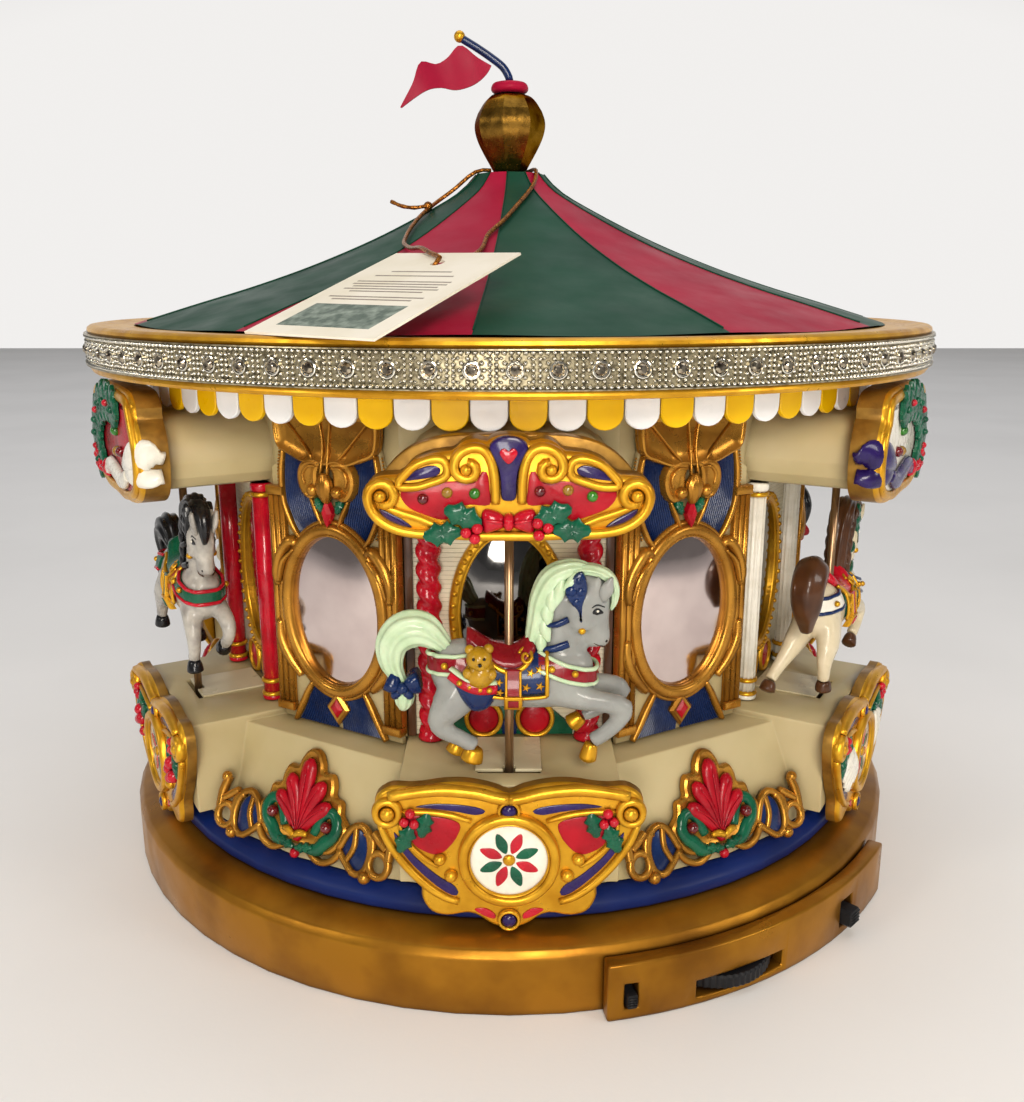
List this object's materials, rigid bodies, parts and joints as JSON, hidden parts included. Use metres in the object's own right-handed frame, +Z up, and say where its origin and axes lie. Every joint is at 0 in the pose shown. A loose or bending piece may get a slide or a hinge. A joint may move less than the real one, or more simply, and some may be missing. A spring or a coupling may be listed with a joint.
{
  "type": "musical carousel toy",
  "caption": "Table-top musical carousel with galloping horses on rods under a striped tent top, mirrored centre and a round base with switches.",
  "frame": {"origin": "centre of the underside of the base, where it stands on the table", "axes": "+Z up; -Y towards the front horse and the side with the controls to its right; +X to the right seen from the front"},
  "size_m": [0.28, 0.2854, 0.2709],
  "materials": {
    "gold_paint": "metallic gold paint over moulded plastic, satin",
    "cream_plastic": "cream moulded plastic, satin",
    "navy_plastic": "navy blue, glossy",
    "tent_plastic": "green and crimson gores, glossy",
    "valance_plastic": "white and yellow tabs, glossy",
    "silver_plating": "bright plating with faceted jewels",
    "antique_gold": "dark antique gold, polished",
    "crimson_plastic": "crimson, glossy",
    "horse_paint": "painted horse with coloured harness, glossy",
    "bronze_rod": "thin bronze coloured rod, satin",
    "black_plastic": "black, satin",
    "card": "stiff cream card, matte",
    "gold_cord": "thin cord wound with gold tinsel"
  },
  "bodies": {
    "carousel": {"base_housing": "gold_paint", "control_panel": "gold_paint", "blue_step_ring": "navy_plastic", "platform": "cream_plastic", "centre_drum": "cream_plastic", "canopy_tent": "tent_plastic", "canopy_rim": "gold_paint", "jewel_band": "silver_plating", "scallop_valance": "valance_plastic", "finial_ball": "antique_gold", "finial_collar": "crimson_plastic", "flag_pole": "navy_plastic", "pennant": "crimson_plastic", "hang_tag": "card", "tag_cord": "gold_cord", "corner_panel_1": "gold_paint", "corner_panel_2": "gold_paint", "corner_panel_3": "gold_paint", "corner_panel_4": "gold_paint", "corner_panel_5": "gold_paint", "corner_panel_6": "gold_paint", "bay_wall_1": "cream_plastic", "bay_wall_2": "cream_plastic", "bay_wall_3": "cream_plastic", "bay_wall_4": "cream_plastic", "bay_wall_5": "cream_plastic", "bay_wall_6": "cream_plastic", "header_plate_1": "gold_paint", "header_plate_2": "gold_paint", "header_plate_3": "gold_paint", "header_plate_4": "gold_paint", "header_plate_5": "gold_paint", "header_plate_6": "gold_paint", "lower_plate_1": "gold_paint", "lower_plate_2": "gold_paint", "lower_plate_3": "gold_paint", "lower_plate_4": "gold_paint", "lower_plate_5": "gold_paint", "lower_plate_6": "gold_paint", "crest_1": "gold_paint", "crest_2": "gold_paint", "crest_3": "gold_paint", "crest_4": "gold_paint", "crest_5": "gold_paint", "crest_6": "gold_paint"},
    "rider_1": {"horse_1": "horse_paint", "horse_pole_1": "bronze_rod"},
    "rider_2": {"horse_2": "horse_paint", "horse_pole_2": "bronze_rod"},
    "rider_3": {"horse_3": "horse_paint", "horse_pole_3": "bronze_rod"},
    "rider_4": {"horse_4": "horse_paint", "horse_pole_4": "bronze_rod"},
    "rider_5": {"horse_5": "horse_paint", "horse_pole_5": "bronze_rod"},
    "rider_6": {"horse_6": "horse_paint", "horse_pole_6": "bronze_rod"},
    "wheel": {"volume_wheel": "black_plastic"},
    "song_knob": {"song_switch": "black_plastic"},
    "power_knob": {"power_switch": "black_plastic"}
  },
  "joints": [
    {"name": "rider_1_rise", "type": "slide", "parent": "carousel", "child": "rider_1", "axis": [0, 0, 1], "range_m": [0, 0.009]},
    {"name": "rider_2_rise", "type": "slide", "parent": "carousel", "child": "rider_2", "axis": [0, 0, 1], "range_m": [-0.002, 0.007]},
    {"name": "rider_3_rise", "type": "slide", "parent": "carousel", "child": "rider_3", "axis": [0, 0, 1], "range_m": [-0.006, 0.003]},
    {"name": "rider_4_rise", "type": "slide", "parent": "carousel", "child": "rider_4", "axis": [0, 0, 1], "range_m": [-0.009, 0]},
    {"name": "rider_5_rise", "type": "slide", "parent": "carousel", "child": "rider_5", "axis": [0, 0, 1], "range_m": [-0.003, 0.006]},
    {"name": "rider_6_rise", "type": "slide", "parent": "carousel", "child": "rider_6", "axis": [0, 0, 1], "range_m": [-0.0085, 0.0005]},
    {"name": "volume_turn", "type": "hinge", "parent": "carousel", "child": "wheel", "pos_m": [0.05711, -0.11209, 0.0048], "axis": [0, 0, 1], "range_deg": [-135, 135]},
    {"name": "song_slide", "type": "slide", "parent": "carousel", "child": "song_knob", "axis": [0, 0, 1], "range_m": [0, 0.0025]},
    {"name": "power_slide", "type": "slide", "parent": "carousel", "child": "power_knob", "axis": [0, 0, 1], "range_m": [0, 0.0024]}
  ]
}
